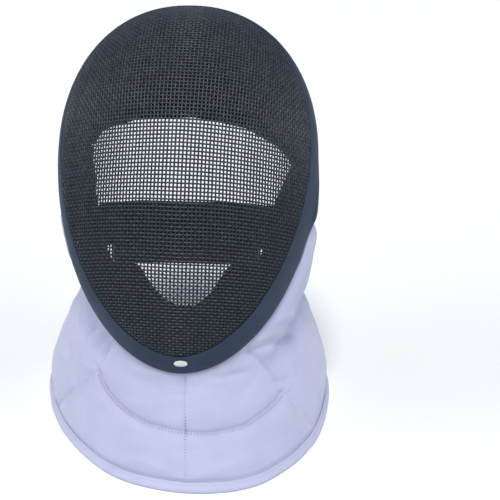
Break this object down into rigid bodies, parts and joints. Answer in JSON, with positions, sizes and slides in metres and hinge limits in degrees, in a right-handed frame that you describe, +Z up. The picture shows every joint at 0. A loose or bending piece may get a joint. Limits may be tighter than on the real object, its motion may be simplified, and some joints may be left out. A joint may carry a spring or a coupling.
{
  "type": "fencing mask",
  "caption": "Fencing mask with a domed wire front, a wire crown, padded edge trim, inner padding, a rear strap and a quilted bib that it stands on.",
  "frame": {"origin": "middle of the bounding box in plan, on the surface that the bib's hem stands on", "axes": "+Z up, the wire front faces -Y, +X at the right of a viewer who faces the front"},
  "size_m": [0.2758, 0.2471, 0.3778],
  "materials": {
    "black_wire": "satin",
    "navy_trim": "satin",
    "white_cloth": "matte",
    "dark_lining": "matte",
    "grey_lining": "matte",
    "black_strap": "matte",
    "ivory_rivet": "satin"
  },
  "bodies": {
    "root": {"back_mesh": "black_wire", "bib": "white_cloth", "bib_binding": "white_cloth", "chin_pad": "dark_lining", "chin_rivet": "ivory_rivet", "crown_edge": "dark_lining", "crown_pad": "grey_lining", "ear_pad_left": "dark_lining", "ear_pad_right": "dark_lining", "face_trim": "navy_trim", "front_mesh": "black_wire", "nape_pad": "grey_lining", "rear_binding": "navy_trim", "rear_strap": "black_strap"}
  },
  "joints": []
}
